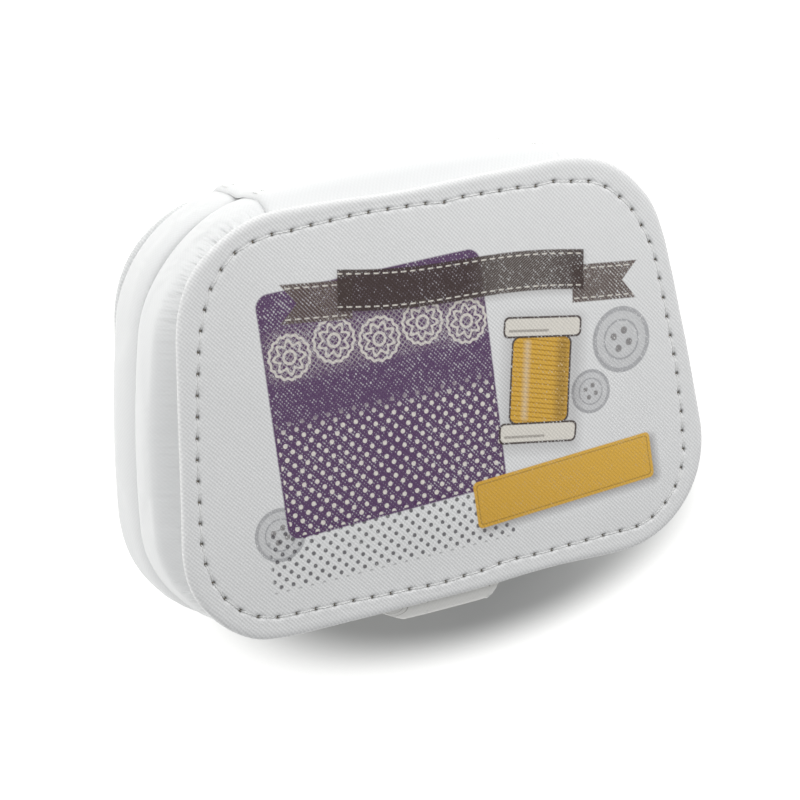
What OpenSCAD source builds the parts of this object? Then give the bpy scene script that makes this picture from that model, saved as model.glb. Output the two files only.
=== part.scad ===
// Bobbin box: a small padded case in grained leathercloth, with a hinged lid and a magnetic strap.
// Each half is a stitched panel with a padded wall on it. The base holds bobbins on edge in foam slots.
// It lies on its base: +Z is up through the lid, +Y is the hinge side and -Y the strap side.
// The origin is the middle of the panels' outline, on the base's underside.

/* [Outline of the panels] */
// Width at the front edge, measured between the sides' straight lines
front_w = 119; // [106:1:140]
// Width at the hinge edge, measured between the sides' straight lines
hinge_w = 100.6; // [94:0.2:119]
// Radius of the two front corners
front_r = 21; // [14:0.5:26]
// Radius of the two hinge corners
hinge_r = 23.6; // [14:0.2:28]

/* [Heights] */
// Height of the parting line above the underside
base_h = 17.2; // [15:0.1:20]
// Gap between the two rims when the case is shut
rim_gap = 0.3; // [0.2:0.05:0.6]
// Free height above the bobbins when the case is shut
headroom = 1.3; // [0.5:0.1:4]

/* [Panels] */
// Thickness of the leathercloth on the panels and the walls
cover_t = 0.8; // [0.7:0.1:1.1]
// Thickness of the panel boards
board_t = 1.5; // [1:0.1:2.5]
// Thickness of the foam sheet under the lid's face
face_foam_t = 0.4; // [0.2:0.1:1.5]
// Width of the cover's turned-in edge, on the panel's inner side
turn_in = 12; // [9:0.5:16]

/* [Walls] */
// How far the walls' seams with the panels lie inside the panels' edge
wall_inset = 0.3; // [0.1:0.1:1]
// How far the padding swells out between its two seams
wall_swell = 2; // [1:0.1:2.2]
// Padding left at the seams, where it is thinnest
pad_min = 0.4; // [0.4:0.1:0.8]
// Thickness of the walls' stiff frames
frame_t = 1.5; // [1:0.1:2.5]
// Thickness of the leathercloth folded over the rims
rim_t = 0.6; // [0.4:0.1:0.8]
// Thickness of the fabric linings
lining_t = 0.5; // [0.3:0.1:0.8]

/* [Stitching] */
// Distance from one stitch to the next on the panels
stitch_pitch = 4; // [3:0.1:6]
// Distance of the panels' seam line from their edge
stitch_inset = 3.9; // [3:0.1:6]
// Gap left between two stitches, where the needle hole is
stitch_gap = 0.9; // [0.5:0.1:1.4]
// Width and thickness of the sewing thread
thread_d = 0.5; // [0.3:0.05:0.5]
// Room beside and above the thread in its groove
thread_room = 0.1; // [0.05:0.05:0.15]

/* [Bobbins and insert] */
// Diameter of the bobbins
bobbin_d = 20.5; // [18:0.1:22]
// Width of the bobbins
bobbin_w = 11.5; // [9:0.1:12]
// Room for a bobbin in its slot, in each direction
slot_room = 0.8; // [0.4:0.1:1]
// Thickness of the foam between two slots of a row
divider_t = 1.8; // [1.4:0.1:2.2]
// Thickness of the foam in front of, between and behind the rows of slots
rail_t = 2.2; // [1.4:0.1:5]
// Number of slots in the front row
front_slot_count = 6; // [4:1:6]
// Number of slots in the middle row
middle_slot_count = 7; // [4:1:7]
// Number of slots in the row at the hinge
hinge_slot_count = 5; // [3:1:5]
// Thickness of the foam sheet under the slots
insert_floor_t = 2; // [1:0.1:4]
// How far the foam's top stays below the base's rim
insert_drop = 1.1; // [0.8:0.1:3]
// Room between the foam and the lined walls
insert_room = 0.3; // [0.1:0.1:0.6]
// Thickness of the foam in the lid's inner pad
lid_foam_t = 3; // [1.5:0.1:5]
// Thickness of the velvet over the lid's inner pad
velvet_t = 0.6; // [0.4:0.1:1]

/* [Hinge] */
// Length of the hinge strip, along the hinge
strip_w = 64; // [40:1:70]
// Thickness of the hinge strip
strip_t = 0.8; // [0.5:0.1:1]
// Number of tack stitches at each end of each half of the strip
tacks = 2; // [1:1:3]

/* [Closing strap] */
// Width of the strap
strap_w = 22; // [16:1:30]
// Distance of the strap's rounded end above the underside
strap_end_h = 2.6; // [1.5:0.1:3.5]
// Radius of the strap's end corners
strap_r = 6; // [4:0.5:7.5]
// Thickness of each of the strap's two leathercloth layers
strap_layer_t = 0.7; // [0.5:0.1:0.8]
// Thickness of the stiffener between the two layers
strap_core_t = 1; // [0.8:0.1:1.2]
// Width of the layers' joined edge around the stiffener
strap_hem = 1.5; // [1:0.1:2]
// Room between the strap and what it lies against
strap_room = 0.3; // [0.3:0.05:0.6]
// Distance of the strap's seam lines from its edges
strap_stitch_inset = 2.6; // [2:0.1:4]
// Distance from one stitch to the next on the strap
strap_pitch = 3; // [2.5:0.1:4]

/* [Closure] */
// Diameter of the strap's magnet and of its keeper disc
magnet_d = 9; // [6:0.5:9.5]
// Room around the magnet and the keeper disc
magnet_room = 0.1; // [0.05:0.05:0.2]
// Thickness of the keeper disc
keeper_t = 0.6; // [0.4:0.1:0.8]

/* [Hidden] */
$fn = 96;
far = 200;

// heights, from the underside up
base_panel_t = 2 * cover_t + board_t;
lid_panel_t = base_panel_t + face_foam_t;
lid_pad_t = lid_foam_t + velvet_t;
case_h = base_panel_t + insert_floor_t + bobbin_d + headroom + lid_pad_t + lid_panel_t;
base_rim = base_h - rim_gap / 2;
lid_rim_h = case_h - base_h - rim_gap / 2;
slots_z = base_panel_t + insert_floor_t;
insert_top = base_rim - insert_drop;

// small clearances
glue_t = 0.1;
lining_room = 0.2;
notch_room = 0.1;
tack_len = 6 * thread_d;
tuck = 0.01;

// facets of the swollen walls
corner_steps = 18;
swell_bands = 6;

// walls: offsets outward from the panels' edge
pad_back = -wall_inset - cover_t - pad_min;
frame_face = pad_back - glue_t;
frame_back = frame_face - frame_t;
room = frame_back - lining_t;
fill = room - insert_room;
swell_x = wall_swell - wall_inset;

// insert: three rows of slots, and the rails that set the depth of the whole case
slot_l = bobbin_d + slot_room;
slot_w = bobbin_w + slot_room;
row_pitch = slot_l + rail_t;
fill_d = 3 * row_pitch + rail_t;
panel_d = fill_d - 2 * fill;

// outline: the sides lean in by one angle, and each corner's centre follows from its radius
side_a = atan((front_w - hinge_w) / 2 / panel_d);
side_c = front_w / 2 * cos(side_a) - panel_d / 2 * sin(side_a);
front_y = front_r - panel_d / 2;
hinge_y = panel_d / 2 - hinge_r;
front_x = (side_c - front_r - front_y * sin(side_a)) / cos(side_a);
hinge_x = (side_c - hinge_r - hinge_y * sin(side_a)) / cos(side_a);
side_len = (front_x - hinge_x) * sin(side_a) + (hinge_y - front_y) * cos(side_a);

// strap: it turns about the corner of its bend
strap_t = 2 * strap_layer_t + strap_core_t;
root_t = 2 * strap_layer_t;
strap_in_y = -panel_d / 2 - swell_x - strap_room;
pivot_y = strap_in_y - strap_t / 2;
pivot_z = case_h - lid_panel_t - root_t / 2;
strap_top = pivot_z - strap_t / 2;
magnet_z = (base_panel_t + base_rim) / 2;

// keeper disc: its edge meets the inside of the curved cover
cover_in_r = swell_r(base_rim - base_panel_t) - cover_t - glue_t;
keeper_sag = cover_in_r - sqrt(pow(cover_in_r, 2) - pow(magnet_d / 2, 2));
keeper_y = -panel_d / 2 - swell_x + cover_t + glue_t + keeper_sag;

// ---- outline ----

// the panels' outline, moved outward by e; the straight sides are tucked into the corners' circles
module outline(e = 0) {
    fr = front_r + e;
    hr = hinge_r + e;
    fs = fr - tuck;
    hs = hr - tuck;
    ca = cos(side_a);
    sa = sin(side_a);
    polygon([[-front_x, front_y - fs], [front_x, front_y - fs],
        [front_x + fs * ca, front_y + fs * sa], [hinge_x + hs * ca, hinge_y + hs * sa],
        [hinge_x, hinge_y + hs], [-hinge_x, hinge_y + hs],
        [-hinge_x - hs * ca, hinge_y + hs * sa], [-front_x - fs * ca, front_y + fs * sa]]);
    for (s = [-1, 1]) {
        translate([s * front_x, front_y]) circle(r = fr);
        translate([s * hinge_x, hinge_y]) circle(r = hr);
    }
}

module slab(e, z0, z1) {
    translate([0, 0, z0]) linear_extrude(z1 - z0) outline(e);
}

module ring(e_out, e_in, z0, z1) {
    difference() {
        slab(e_out, z0, z1);
        slab(e_in, z0 - 1, z1 + 1);
    }
}

// ---- panels ----

// the leathercloth wrapped round a panel's board, with the groove that its seam pulls in
module panel_cover(panel_t) {
    groove = thread_d / 2 + thread_room;
    difference() {
        slab(0, 0, panel_t);
        slab(-cover_t, cover_t, panel_t - cover_t);
        slab(-turn_in, panel_t - 2 * cover_t, panel_t + 1);
        ring(groove - stitch_inset, -groove - stitch_inset, -1, thread_d + thread_room);
    }
}

// the lining card that fills the opening inside the turned-in edge
module floor_lining(panel_t) {
    slab(-turn_in - lining_room, panel_t - cover_t, panel_t);
}

function arc_len(r, angle) = r * angle * PI / 180;

// distances along the right half of a seam, from the middle of the front, to the ends of its stretches
function seam_ends(e) = let (
    a = front_x,
    b = a + arc_len(front_r + e, 90 + side_a),
    c = b + side_len,
    d = c + arc_len(hinge_r + e, 90 - side_a)) [a, b, c, d, d + hinge_x];

// a point and a direction on a corner, at a distance past the corner's start
function corner_point(x, y, r, start, past) = let (turn = start + past / r * 180 / PI)
    [x + r * cos(turn), y + r * sin(turn), turn + 90];

// a point and a direction on the right half of the seam, at a distance from the middle of the front
function seam_point(s, e) = let (ends = seam_ends(e))
    s < ends[0] ? [s, -panel_d / 2 - e, 0] :
    s < ends[1] ? corner_point(front_x, front_y, front_r + e, -90, s - ends[0]) :
    s < ends[2] ? [front_x + (front_r + e) * cos(side_a) - (s - ends[1]) * sin(side_a),
        front_y + (front_r + e) * sin(side_a) + (s - ends[1]) * cos(side_a), 90 + side_a] :
    s < ends[3] ? corner_point(hinge_x, hinge_y, hinge_r + e, side_a, s - ends[2]) :
    [hinge_x - (s - ends[3]), panel_d / 2 + e, 180];

// one visible stitch, lying along X with its top at z = 0
module stitch(length) {
    translate([-length / 2, -thread_d / 2, -thread_d]) cube([length, thread_d, thread_d]);
}

// the visible stitches of a panel's seam, just under the panel's outer face
module panel_stitching() {
    half = seam_ends(-stitch_inset)[4];
    count = round(half / stitch_pitch);
    pitch = half / count;
    for (i = [0 : count - 1], side = [0, 1]) {
        at = seam_point((i + 0.5) * pitch, -stitch_inset);
        mirror([side, 0, 0]) translate([at.x, at.y, thread_d + thread_room]) rotate([0, 0, at.z])
            stitch(pitch - stitch_gap);
    }
}

// ---- walls, from a panel at z0 to a rim at z1 ----

function swell_r(h) = (pow(h / 2, 2) + pow(wall_swell, 2)) / (2 * wall_swell);

// one corner of the panels' outline moved outward by e, at height z
function corner_points(x, y, r, a0, a1, z) = [
    for (i = [0 : corner_steps]) let (a = a0 + (a1 - a0) * i / corner_steps)
        [x + r * cos(a), y + r * sin(a), z]];

function outline_points(e, z) = concat(
    corner_points(front_x, front_y, front_r + e, -90, side_a, z),
    corner_points(hinge_x, hinge_y, hinge_r + e, side_a, 90, z),
    corner_points(-hinge_x, hinge_y, hinge_r + e, 90, 180 - side_a, z),
    corner_points(-front_x, front_y, front_r + e, 180 - side_a, 270, z));

// the swollen wall as a filled form, its round face moved outward by e, cut off at two heights;
// if upright, it goes straight up from its widest height
module swollen(z0, z1, e, z_low, z_top, upright = false) {
    r = swell_r(z1 - z0);
    middle = (z0 + z1) / 2;
    count = 4 * (corner_steps + 1);
    last = swell_bands * count;
    points = [for (k = [0 : swell_bands]) let (
        z = z_low + (z_top - z_low) * k / swell_bands,
        rise = upright ? min(z - middle, 0) : z - middle)
        each outline_points(swell_x - r + sqrt(pow(r + e, 2) - pow(rise, 2)), z)];
    low = [for (i = [0 : count - 1]) i];
    top = [for (i = [0 : count - 1]) last + count - 1 - i];
    sides = [for (k = [0 : count : last - 1], i = low) let (n = (i + 1) % count)
        [k + i, k + count + i, k + count + n, k + n]];
    polyhedron(points, concat([low, top], sides));
}

// the hollow behind a swollen skin, with the same facets
module hollow(e, z0, z1) {
    translate([0, 0, z0 - 1]) linear_extrude(z1 - z0 + 2)
        polygon([for (p = outline_points(e, 0)) [p.x, p.y]]);
}

module wall_frame(z0, z1) {
    ring(frame_face, frame_back, z0, z1 - rim_t);
}

module wall_padding(z0, z1) {
    difference() {
        swollen(z0, z1, -cover_t - glue_t, z0, z1 - rim_t);
        hollow(pad_back, z0, z1);
    }
}

// the leathercloth over the padding, folded over the rim to the frame's inner face
module wall_cover(z0, z1) {
    difference() {
        swollen(z0, z1, 0, z0, z1);
        swollen(z0, z1, -cover_t, z0 - 1, z1 - rim_t);
        hollow(frame_back + glue_t, z0, z1);
    }
}

module wall_lining(z0, z1) {
    ring(frame_back, room, z0, z1);
}

// half of the hinge strip, lying on the hinge wall up to its widest height and bridging to the
// other half from there, with pockets for its tacks
module hinge_strip(z0, z1) {
    difference() {
        swollen(z0, z1, glue_t + strip_t, z0, z1, true);
        swollen(z0, z1, glue_t, z0 - 1, z1 + 1, true);
        translate([-far / 2, hinge_y - far, z0 - 1]) cube([far, far, far]);
        for (s = [-1, 1])
            translate([s * (strip_w + far) / 2 - far / 2, -far / 2, z0 - 1]) cube([far, far, far]);
        hinge_tacks(z0, z1);
    }
}

// upright tack stitches at both ends of the strip, where the wall is widest
module hinge_tacks(z0, z1) {
    y = panel_d / 2 + swell_x + glue_t + strip_t - thread_d / 4;
    for (side = [-1, 1], i = [1 : tacks])
        translate([side * (strip_w / 2 - 3 * i * thread_d), y, (z0 + z1) / 2])
            rotate([0, 90, 0]) translate([0, 0, thread_d / 2]) stitch(tack_len);
}

// turns a half that is built upwards from its panel into the lid, from the top down
module lid_side() {
    translate([0, 0, case_h]) mirror([0, 0, 1]) children();
}

// ---- base ----

module base_board() {
    color("tan") slab(-cover_t, cover_t, base_panel_t - cover_t);
}

module base_panel_cover() {
    color("whitesmoke") panel_cover(base_panel_t);
}

module base_stitching() {
    color("white") panel_stitching();
}

module base_floor_lining() {
    color("indigo") floor_lining(base_panel_t);
}

module base_wall_frame() {
    color("burlywood") wall_frame(base_panel_t, base_rim);
}

module base_wall_padding() {
    color("ivory") difference() {
        wall_padding(base_panel_t, base_rim);
        translate([0, keeper_y + keeper_t, magnet_z]) rotate([90, 0, 0])
            cylinder(d = magnet_d + 2 * magnet_room, h = far);
    }
}

module base_wall_cover() {
    color("whitesmoke") wall_cover(base_panel_t, base_rim);
}

module base_wall_lining() {
    color("indigo") wall_lining(base_panel_t, base_rim);
}

module keeper_disc() {
    color("silver") translate([0, keeper_y + keeper_t, magnet_z]) rotate([90, 0, 0])
        cylinder(d = magnet_d, h = keeper_t);
}

module base_hinge_strip() {
    color("snow") hinge_strip(base_panel_t, base_rim);
}

module base_hinge_tacks() {
    color("khaki") hinge_tacks(base_panel_t, base_rim);
}

// ---- insert: three rows of slots for bobbins on edge ----

module insert_floor() {
    color("dimgray") slab(fill, base_panel_t, slots_z);
}

module foam(y0, y1) {
    intersection() {
        slab(fill, slots_z, insert_top);
        translate([-far / 2, y0, 0]) cube([far, y1 - y0, far]);
    }
}

module insert_rails() {
    color("gray") for (i = [0 : 3]) {
        y = i * row_pitch - fill_d / 2;
        foam(y, y + rail_t);
    }
}

module dividers(row, slots) {
    y = row * row_pitch + rail_t - fill_d / 2;
    pitch = slot_w + divider_t;
    difference() {
        foam(y, y + slot_l);
        for (i = [0 : slots - 1])
            translate([(i - (slots - 1) / 2) * pitch - slot_w / 2, y - 1, 0])
                cube([slot_w, slot_l + 2, far]);
    }
}

module front_dividers() {
    color("darkgray") dividers(0, front_slot_count);
}

module middle_dividers() {
    color("darkgray") dividers(1, middle_slot_count);
}

module hinge_dividers() {
    color("darkgray") dividers(2, hinge_slot_count);
}

// ---- lid ----

module lid_board() {
    color("tan") lid_side() slab(-cover_t, cover_t + face_foam_t, lid_panel_t - cover_t);
}

module lid_face_foam() {
    color("ivory") lid_side() slab(-cover_t, cover_t, cover_t + face_foam_t);
}

module lid_panel_cover() {
    color("whitesmoke") lid_side() panel_cover(lid_panel_t);
}

module lid_stitching() {
    color("white") lid_side() panel_stitching();
}

module lid_floor_lining() {
    color("indigo") lid_side() floor_lining(lid_panel_t);
}

// the notch that lets the strap's root in between the lid's panel and its front wall
module root_notch() {
    translate([-strap_w / 2 - notch_room, -panel_d / 2 - far, pivot_z - root_t / 2 - notch_room])
        cube([strap_w + 2 * notch_room, far - room, far]);
}

module lid_wall_frame() {
    color("burlywood") difference() {
        lid_side() wall_frame(lid_panel_t, lid_rim_h);
        root_notch();
    }
}

module lid_wall_padding() {
    color("ivory") difference() {
        lid_side() wall_padding(lid_panel_t, lid_rim_h);
        root_notch();
    }
}

module lid_wall_cover() {
    color("whitesmoke") difference() {
        lid_side() wall_cover(lid_panel_t, lid_rim_h);
        root_notch();
    }
}

module lid_wall_lining() {
    color("indigo") lid_side() wall_lining(lid_panel_t, lid_rim_h);
}

module lid_pad_foam() {
    color("ivory") lid_side() slab(fill - velvet_t, lid_panel_t, lid_panel_t + lid_foam_t);
}

module lid_pad_velvet() {
    color("rebeccapurple") lid_side() difference() {
        slab(fill, lid_panel_t, lid_panel_t + lid_pad_t);
        slab(fill - velvet_t, lid_panel_t - 1, lid_panel_t + lid_foam_t);
    }
}

module lid_hinge_strip() {
    color("snow") lid_side() hinge_strip(lid_panel_t, lid_rim_h);
}

module lid_hinge_tacks() {
    color("khaki") lid_side() hinge_tacks(lid_panel_t, lid_rim_h);
}

// ---- strap ----

// the two layers sewn together, from the lining of the front wall out to the bend
module strap_root() {
    color("whitesmoke") translate([-strap_w / 2, pivot_y + strap_t / 2, pivot_z - root_t / 2])
        cube([strap_w, -panel_d / 2 - frame_back - pivot_y - strap_t / 2, root_t]);
}

// the hanging strap's outline, set in by e, with round lower corners
module strap_outline(e) {
    r = strap_r - e;
    side = strap_w / 2 - strap_r;
    low = strap_end_h + strap_r;
    translate([-strap_w / 2 + e, low]) square([strap_w - 2 * e, strap_top - e - low]);
    translate([-side, low - r]) square([2 * side, 2 * r]);
    for (s = [-1, 1]) translate([s * side, low]) circle(r = r);
}

module strap_layer(e, y, thickness) {
    translate([0, y, 0]) rotate([90, 0, 0]) linear_extrude(thickness) strap_outline(e);
}

module strap_lining() {
    color("gainsboro") strap_layer(0, strap_in_y, strap_layer_t);
}

module strap_core() {
    color("tan") difference() {
        strap_layer(strap_hem + magnet_room, strap_in_y - strap_layer_t, strap_core_t);
        translate([0, strap_in_y, magnet_z]) rotate([90, 0, 0])
            cylinder(d = magnet_d + 2 * magnet_room, h = strap_t);
    }
}

// the outer layer, with its edges folded down round the stiffener
module strap_outer() {
    color("whitesmoke") difference() {
        strap_layer(0, strap_in_y - strap_layer_t, strap_layer_t + strap_core_t);
        strap_layer(strap_hem, strap_in_y, strap_layer_t + strap_core_t);
    }
}

module strap_magnet() {
    color("silver") translate([0, strap_in_y - strap_layer_t, magnet_z]) rotate([90, 0, 0])
        cylinder(d = magnet_d, h = strap_core_t);
}

// two rows of stitches laid on the strap's outer face
module strap_stitching() {
    low = strap_end_h + strap_r;
    count = floor((strap_top - low) / strap_pitch);
    x = strap_w / 2 - strap_stitch_inset;
    color("white") for (s = [-1, 1], i = [0 : count - 1])
        translate([s * x, strap_in_y - strap_t, low + (i + 0.5) * strap_pitch])
            rotate([90, 90, 0]) translate([0, 0, thread_d]) stitch(strap_pitch - stitch_gap);
}

base_board();
base_panel_cover();
base_stitching();
base_floor_lining();
base_wall_frame();
base_wall_padding();
base_wall_cover();
base_wall_lining();
insert_floor();
insert_rails();
front_dividers();
middle_dividers();
hinge_dividers();
keeper_disc();
base_hinge_strip();
base_hinge_tacks();
lid_board();
lid_face_foam();
lid_panel_cover();
lid_stitching();
lid_floor_lining();
lid_wall_frame();
lid_wall_padding();
lid_wall_cover();
lid_wall_lining();
lid_pad_foam();
lid_pad_velvet();
lid_hinge_strip();
lid_hinge_tacks();
strap_root();
strap_outer();
strap_core();
strap_lining();
strap_magnet();
strap_stitching();
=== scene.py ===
# Bobbin box: a padded case in white grained leathercloth, with a hinged lid, a closing strap and
# a foam insert for bobbins. It lies on its base; +Z is up through the lid, +Y is the hinge side.
import math

import bmesh
import bpy
from mathutils import Matrix, Vector
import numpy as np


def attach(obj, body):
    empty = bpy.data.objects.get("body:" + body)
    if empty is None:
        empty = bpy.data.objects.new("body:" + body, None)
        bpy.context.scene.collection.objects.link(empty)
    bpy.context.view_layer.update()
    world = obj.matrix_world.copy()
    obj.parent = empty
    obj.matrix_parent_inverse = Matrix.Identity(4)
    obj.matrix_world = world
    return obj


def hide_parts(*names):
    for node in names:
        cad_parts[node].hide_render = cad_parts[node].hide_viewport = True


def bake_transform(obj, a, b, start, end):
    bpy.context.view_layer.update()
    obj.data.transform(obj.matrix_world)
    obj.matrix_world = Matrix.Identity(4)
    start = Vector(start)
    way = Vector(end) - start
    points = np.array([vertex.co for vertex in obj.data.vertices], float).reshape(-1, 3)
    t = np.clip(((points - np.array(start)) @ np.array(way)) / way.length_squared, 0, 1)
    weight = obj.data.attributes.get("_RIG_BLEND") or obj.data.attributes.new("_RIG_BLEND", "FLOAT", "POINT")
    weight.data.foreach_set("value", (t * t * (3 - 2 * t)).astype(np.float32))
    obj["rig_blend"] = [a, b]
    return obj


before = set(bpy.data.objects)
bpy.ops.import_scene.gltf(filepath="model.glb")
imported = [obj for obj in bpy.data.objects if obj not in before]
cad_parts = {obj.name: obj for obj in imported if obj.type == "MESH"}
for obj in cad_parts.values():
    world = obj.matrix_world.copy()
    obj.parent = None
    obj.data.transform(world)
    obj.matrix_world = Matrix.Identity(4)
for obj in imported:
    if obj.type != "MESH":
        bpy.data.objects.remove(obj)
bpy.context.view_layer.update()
bpy.ops.object.select_all(action="DESELECT")
MM = 0.001


def dial(node, **inputs):
    """Sets a shader node's inputs, named with _ for a space."""
    for name, value in inputs.items():
        node.inputs[name.replace("_", " ")].default_value = value


# ---- Studio ----
# A table of grey paper, made white by a painted glow, that the case lies on, a large soft light on the hinge
# side, a low fill on the left and a small lamp close by. The camera looks down on the lid from the hinge side
# and the left.
CAMERA_PLACE = Vector((-207.67, 108.94, 450.3)) * MM
CAMERA_AIM = Vector((0.4178, -0.2291, -0.8792)).normalized()
CAMERA_UP = Vector((0.1943, 0.9678, -0.1598)).normalized()
LENS, SENSOR_W = 112.5, 36
camera_data = bpy.data.cameras.new("studio_camera")
camera_data.lens = LENS
camera_data.sensor_width = SENSOR_W
camera = bpy.data.objects.new("studio_camera", camera_data)
bpy.context.collection.objects.link(camera)
camera_right = CAMERA_AIM.cross(CAMERA_UP).normalized()
camera_up = camera_right.cross(CAMERA_AIM)
turn = Matrix((camera_right, camera_up, -CAMERA_AIM)).transposed()
camera.matrix_world = Matrix.Translation(CAMERA_PLACE) @ turn.to_4x4()
bpy.context.scene.camera = camera
bpy.context.scene.view_settings.view_transform = "Standard"

# The paper is grey, and glows white all over as a painted glow, except on an oval under the case's front
# edge, where the grey shows as a painted shadow over the real one.
# The oval is drawn out along the edge, and the glow comes back between two radii.
TABLE_W, TABLE_GAP = 8, 0.05 * MM
PAPER_COLOUR, PAPER_PAINTED_GLOW = (0.58, 0.58, 0.57, 1), (1, 1, 0.99, 1)
SHADOW_OVAL_SHIFT, SHADOW_OVAL_SCALE = (-0.008, 0.042, 0), (0.42, 1, 0)
PAINTED_SHADOW_R, PAINTED_GLOW_R, PAINTED_GLOW_STRENGTH = 0.0165, 0.0275, 0.8
bpy.ops.mesh.primitive_plane_add(size=TABLE_W, location=(0, 0, -TABLE_GAP))
table = bpy.context.object
table.name = "table_top"
table.data.transform(table.matrix_world)
table.matrix_world = Matrix.Identity(4)
paper = bpy.data.materials.new("grey_paper_painted_white")
paper.use_nodes = True
paper_tree = paper.node_tree
paper_shader = paper_tree.nodes["Principled BSDF"]
dial(paper_shader, Base_Color=PAPER_COLOUR, Roughness=0.95, Specular_IOR_Level=0.0, Emission_Color=PAPER_PAINTED_GLOW)
paper_place = paper_tree.nodes.new("ShaderNodeTexCoord")
paper_painted_glow = paper_tree.nodes.new("ShaderNodeMapRange")
paper_shadow = paper_tree.nodes.new("ShaderNodeMapping")
paper_shadow.vector_type = "POINT"
dial(paper_shadow, Location=SHADOW_OVAL_SHIFT, Scale=SHADOW_OVAL_SCALE)
paper_tree.links.new(paper_place.outputs["Object"], paper_shadow.inputs["Vector"])
paper_reach = paper_tree.nodes.new("ShaderNodeVectorMath")
paper_reach.operation = "LENGTH"
paper_tree.links.new(paper_shadow.outputs["Vector"], paper_reach.inputs[0])
paper_tree.links.new(paper_reach.outputs["Value"], paper_painted_glow.inputs["Value"])
# The glow is painted light; where it fades, the grey paper shows as a painted shadow.
paper_painted_glow.interpolation_type = "SMOOTHSTEP"
dial(paper_painted_glow, From_Min=PAINTED_SHADOW_R, From_Max=PAINTED_GLOW_R, To_Min=0.0, To_Max=PAINTED_GLOW_STRENGTH)
paper_tree.links.new(paper_painted_glow.outputs["Result"], paper_shader.inputs["Emission Strength"])
table.data.materials.append(paper)


def soft_light(name, place, aim, size, power):
    """A square soft light at a place in metres, turned towards a point; its power is in watts."""
    data = bpy.data.lights.new(name, "AREA")
    data.size = size
    data.energy = power
    light = bpy.data.objects.new(name, data)
    light.location = place
    light.rotation_euler = (Vector(aim) - Vector(place)).to_track_quat("-Z", "Y").to_euler()
    bpy.context.collection.objects.link(light)


soft_light("window", (0.16, 0.74, 0.40), (0, 0, 0), 0.6, 3.0)
soft_light("side_fill", (-0.85, 0.12, 0.22), (0, 0, 0), 0.7, 2.25)
soft_light("near_lamp", (0.22, 0.22, 0.30), (0, 0, 0.03), 0.2, 0.46)

world = bpy.data.worlds.new("studio_air")
bpy.context.scene.world = world
world.use_nodes = True
air = world.node_tree
dial(air.nodes["Background"], Color=(0.97, 0.985, 1, 1), Strength=0.4)
backdrop = air.nodes.new("ShaderNodeBackground")
dial(backdrop, Color=(1, 1, 1, 1))
seen = air.nodes.new("ShaderNodeLightPath")
choice = air.nodes.new("ShaderNodeMixShader")
air.links.new(seen.outputs["Is Camera Ray"], choice.inputs["Fac"])
air.links.new(air.nodes["Background"].outputs[0], choice.inputs[1])
air.links.new(backdrop.outputs[0], choice.inputs[2])
air.links.new(choice.outputs[0], air.nodes["World Output"].inputs["Surface"])


# ---- The case's outline ----
# Both panels are cut to one pattern: straight front and hinge edges, sides that lean in, and
# large round corners. Every wall, seam and lining follows this line at an offset.
FRONT_W, HINGE_W, PANEL_D = 119.0, 100.6, 80.5
FRONT_R, HINGE_R = 21.0, 23.6
CASE_H = 34.0
PARTING_Z = 17.2
LEAN = math.atan((FRONT_W - HINGE_W) / 2 / PANEL_D)
side_line = FRONT_W / 2 * math.cos(LEAN) - PANEL_D / 2 * math.sin(LEAN)
FRONT_Y = FRONT_R - PANEL_D / 2
HINGE_Y = PANEL_D / 2 - HINGE_R
FRONT_X = (side_line - FRONT_R - FRONT_Y * math.sin(LEAN)) / math.cos(LEAN)
HINGE_X = (side_line - HINGE_R - HINGE_Y * math.sin(LEAN)) / math.cos(LEAN)
SEAM_IN = 3.9


def outline_stations(count):
    """Evenly spaced points round the seam line, from the middle of the front and counter-clockwise:
    each is a point of the panels' edge and the outward direction there."""
    lean, square = LEAN, math.pi / 2
    side = Vector((FRONT_X - HINGE_X, FRONT_Y - HINGE_Y)).length
    corners = [(FRONT_X, FRONT_Y, FRONT_R, -square, lean), (HINGE_X, HINGE_Y, HINGE_R, lean, square),
               (-HINGE_X, HINGE_Y, HINGE_R, square, 2 * square - lean),
               (-FRONT_X, FRONT_Y, FRONT_R, 2 * square - lean, 3 * square)]
    straights = [side, 2 * HINGE_X, side, FRONT_X]
    runs = [(FRONT_X, None, -square)]
    for corner, straight in zip(corners, straights):
        _, _, r, start, end = corner
        runs.append(((r - SEAM_IN) * (end - start), corner, start))
        runs.append((straight, corner, end))
    total = sum(run[0] for run in runs)
    stations = []
    for k in range(count):
        along = total * k / count
        for length, corner, angle in runs:
            if along <= length:
                break
            along -= length
        if corner is None:
            stations.append((Vector((along, -PANEL_D / 2)), Vector((0, -1))))
            continue
        x, y, r, start, end = corner
        if angle == start:
            at = start + along / (r - SEAM_IN)
            out = Vector((math.cos(at), math.sin(at)))
            stations.append((Vector((x, y)) + out * r, out))
        else:
            out = Vector((math.cos(end), math.sin(end)))
            stations.append((Vector((x, y)) + out * r + Vector((-out.y, out.x)) * along, out))
    return stations


def add_face(mesh, vertices, layer=None, places=()):
    """A smooth face, with its corners' places on a UV map if it has one."""
    face = mesh.faces.new(vertices)
    face.smooth = True
    for corner, place in zip(face.loops, places):
        corner[layer].uv = place


def quads(low, high):
    """The corners of the faces that join one closed ring of points with the next."""
    after = list(range(1, len(low))) + [0]
    return [(low[k], low[n], high[n], high[k]) for k, n in enumerate(after)]


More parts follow.
